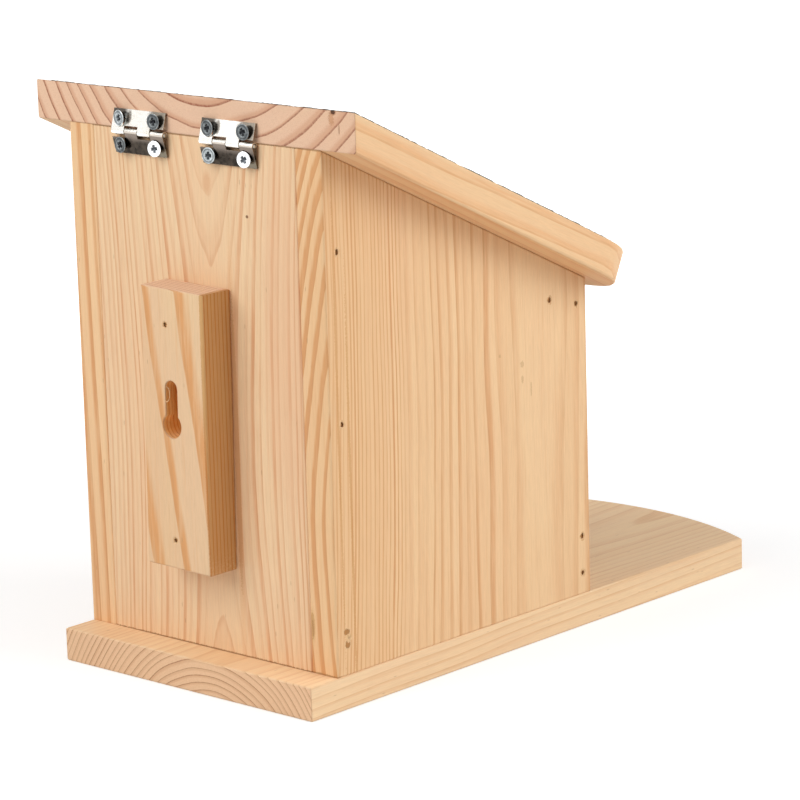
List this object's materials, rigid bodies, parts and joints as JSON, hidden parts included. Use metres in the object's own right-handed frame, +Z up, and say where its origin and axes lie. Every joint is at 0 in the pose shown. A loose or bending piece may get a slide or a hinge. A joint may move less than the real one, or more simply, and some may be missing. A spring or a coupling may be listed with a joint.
{
  "type": "squirrel feeder box",
  "caption": "Wooden squirrel feeder: a hopper with a hinged sloping lid and clear front pane on a long feeding platform, with a keyhole block behind for hanging.",
  "frame": {"origin": "middle of the footprint on the underside of the floor board", "axes": "+Z up, +Y towards the hanging block at the back, -Y over the feeding platform, X across the box"},
  "size_m": [0.1514, 0.2532, 0.2056],
  "materials": {
    "pine": "bare planed and sanded pine, matt, with growth rings on the ends",
    "roofing_felt": "mineral-surfaced bitumen felt, matt dark grey",
    "clear_acrylic": "clear polished acrylic sheet",
    "nickel_plate": "bright nickel-plated pressed steel with fine rolling lines",
    "zinc_screw": "blue-white zinc plate, satin",
    "galvanised_tack": "dull galvanised",
    "nail_steel": "dull bronze-coated steel, dark in its hole"
  },
  "bodies": {
    "box": {"floor_board": "pine", "back_board": "pine", "left_side": "pine", "right_side": "pine", "front_sill": "pine", "top_rail": "pine", "hanging_block": "pine", "clear_pane": "clear_acrylic", "hinge_leaf_lower_left": "nickel_plate", "hinge_leaf_lower_right": "nickel_plate", "hinge_pin_left": "nickel_plate", "hinge_pin_right": "nickel_plate", "screw_lower_inner_left": "zinc_screw", "screw_lower_outer_left": "zinc_screw", "screw_lower_inner_right": "zinc_screw", "screw_lower_outer_right": "zinc_screw", "nail_left_back_high": "nail_steel", "nail_left_back_middle": "nail_steel", "nail_left_back_low": "nail_steel", "nail_left_rail_rear": "nail_steel", "nail_left_rail_front": "nail_steel", "nail_left_sill_high": "nail_steel", "nail_left_sill_low": "nail_steel", "nail_right_back_high": "nail_steel", "nail_right_back_middle": "nail_steel", "nail_right_back_low": "nail_steel", "nail_right_rail_rear": "nail_steel", "nail_right_rail_front": "nail_steel", "nail_right_sill_high": "nail_steel", "nail_right_sill_low": "nail_steel", "floor_nail_left_rear": "nail_steel", "floor_nail_left_front": "nail_steel", "floor_nail_back_left": "nail_steel", "floor_nail_right_rear": "nail_steel", "floor_nail_right_front": "nail_steel", "floor_nail_back_right": "nail_steel", "floor_nail_sill": "nail_steel", "block_nail_top": "nail_steel", "block_nail_bottom": "nail_steel"},
    "lid": {"roof_board": "pine", "roof_felt": "roofing_felt", "hinge_leaf_upper_left": "nickel_plate", "hinge_leaf_upper_right": "nickel_plate", "screw_upper_inner_left": "zinc_screw", "screw_upper_outer_left": "zinc_screw", "screw_upper_inner_right": "zinc_screw", "screw_upper_outer_right": "zinc_screw", "felt_tack_left_rear": "galvanised_tack", "felt_tack_right_rear": "galvanised_tack", "felt_tack_left_middle": "galvanised_tack", "felt_tack_right_middle": "galvanised_tack", "felt_tack_left_front": "galvanised_tack", "felt_tack_right_front": "galvanised_tack"}
  },
  "joints": [
    {"name": "lid_hinge", "type": "hinge", "parent": "box", "child": "lid", "pos_m": [0, 0.11482, 0.1911], "axis": [-1, 0, 0], "range_deg": [0, 98]}
  ]
}
